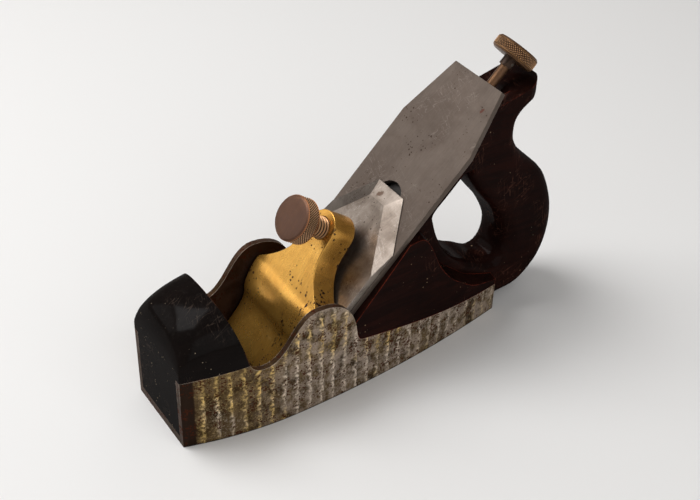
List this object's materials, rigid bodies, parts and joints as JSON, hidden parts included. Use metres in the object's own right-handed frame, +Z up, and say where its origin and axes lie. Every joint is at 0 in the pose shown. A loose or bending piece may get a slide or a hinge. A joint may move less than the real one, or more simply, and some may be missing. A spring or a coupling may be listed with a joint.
{
  "type": "infill smoothing plane",
  "caption": "Bowed steel smoothing plane filled with dark wood, with a closed handle, a brass lever cap and a screw adjuster.",
  "frame": {"origin": "middle of the sole's underside", "axes": "+Y towards the heel, toe at -Y, +Z up from the sole, +X across"},
  "size_m": [0.0668, 0.2408, 0.1599],
  "materials": {
    "steel": "worn",
    "sole": "ground",
    "ebonised": "polished",
    "dark_wood": "polished",
    "iron": "ground",
    "cap_iron": "polished",
    "gunmetal": "polished",
    "bronze": "worn",
    "dark_steel": "worn"
  },
  "bodies": {
    "base": {"sole_plate": "sole", "left_side": "steel", "right_side": "steel", "front_bun": "ebonised", "left_cheek": "dark_wood", "right_cheek": "dark_wood", "tote": "dark_wood", "bed_block": "dark_steel", "bed_rivets": "sole", "stuffing_rivets": "steel", "sole_screws": "sole", "lever_cap_pin": "steel", "swivel_plate": "gunmetal", "swivel_screws": "dark_steel"},
    "lever": {"lever_cap": "gunmetal"},
    "pad": {"pressure_pad": "bronze"},
    "clamp_screw": {"lever_cap_screw": "bronze"},
    "swivel": {"swivel_barrel": "gunmetal"},
    "spindle": {"adjuster_spindle": "bronze", "stop_collars": "gunmetal", "knob_collar": "bronze", "knob_pin": "dark_steel", "adjuster_knob": "bronze"},
    "feed": {"carriage": "dark_steel"},
    "cap": {"cap_iron": "cap_iron", "cap_iron_screw": "dark_steel"},
    "cutter": {"cutting_iron": "iron"}
  },
  "joints": [
    {"name": "lever_swing", "type": "hinge", "parent": "base", "child": "lever", "pos_m": [0, -0.02765, 0.04017], "axis": [-1, 0, 0], "range_deg": [0, 3.3]},
    {"name": "pad_slide", "type": "slide", "parent": "lever", "child": "pad", "axis": [0, -0.808, 0.5892], "range_m": [0, 0.00278]},
    {"name": "thumb_turn", "type": "hinge", "parent": "pad", "child": "clamp_screw", "pos_m": [0, 0.01204, 0.07113], "axis": [0, -0.808, 0.5892], "range_deg": [0, 500]},
    {"name": "adjuster_swing", "type": "hinge", "parent": "base", "child": "swivel", "pos_m": [0, 0.07629, 0.11469], "axis": [0, -0.7133, 0.7009], "range_deg": [-0.8, 0.8]},
    {"name": "knob_turn", "type": "hinge", "parent": "swivel", "child": "spindle", "pos_m": [0, 0.07629, 0.11469], "axis": [0, 0.7009, 0.7133], "range_deg": [-360, 1440]},
    {"name": "feed_slide", "type": "slide", "parent": "swivel", "child": "feed", "axis": [0, 0.7009, 0.7133], "range_m": [-0.001, 0.004]},
    {"name": "cutter_skew", "type": "hinge", "parent": "feed", "child": "cap", "pos_m": [0, 0.01156, 0.06052], "axis": [0, -0.7133, 0.7009], "range_deg": [-1.7, 1.7]},
    {"name": "setback_slide", "type": "slide", "parent": "cap", "child": "cutter", "axis": [0, 0.7009, 0.7133], "range_m": [-0.0015, 0.0013]}
  ],
  "couplings": [
    {"joint": "lever_swing", "follows": "pad_slide", "rad_per_m": 20.284},
    {"joint": "thumb_turn", "follows": "pad_slide", "rad_per_m": 3141.6},
    {"joint": "knob_turn", "follows": "feed_slide", "rad_per_m": 6283.2},
    {"joint": "cutter_skew", "follows": "adjuster_swing", "ratio": -1.9545}
  ]
}
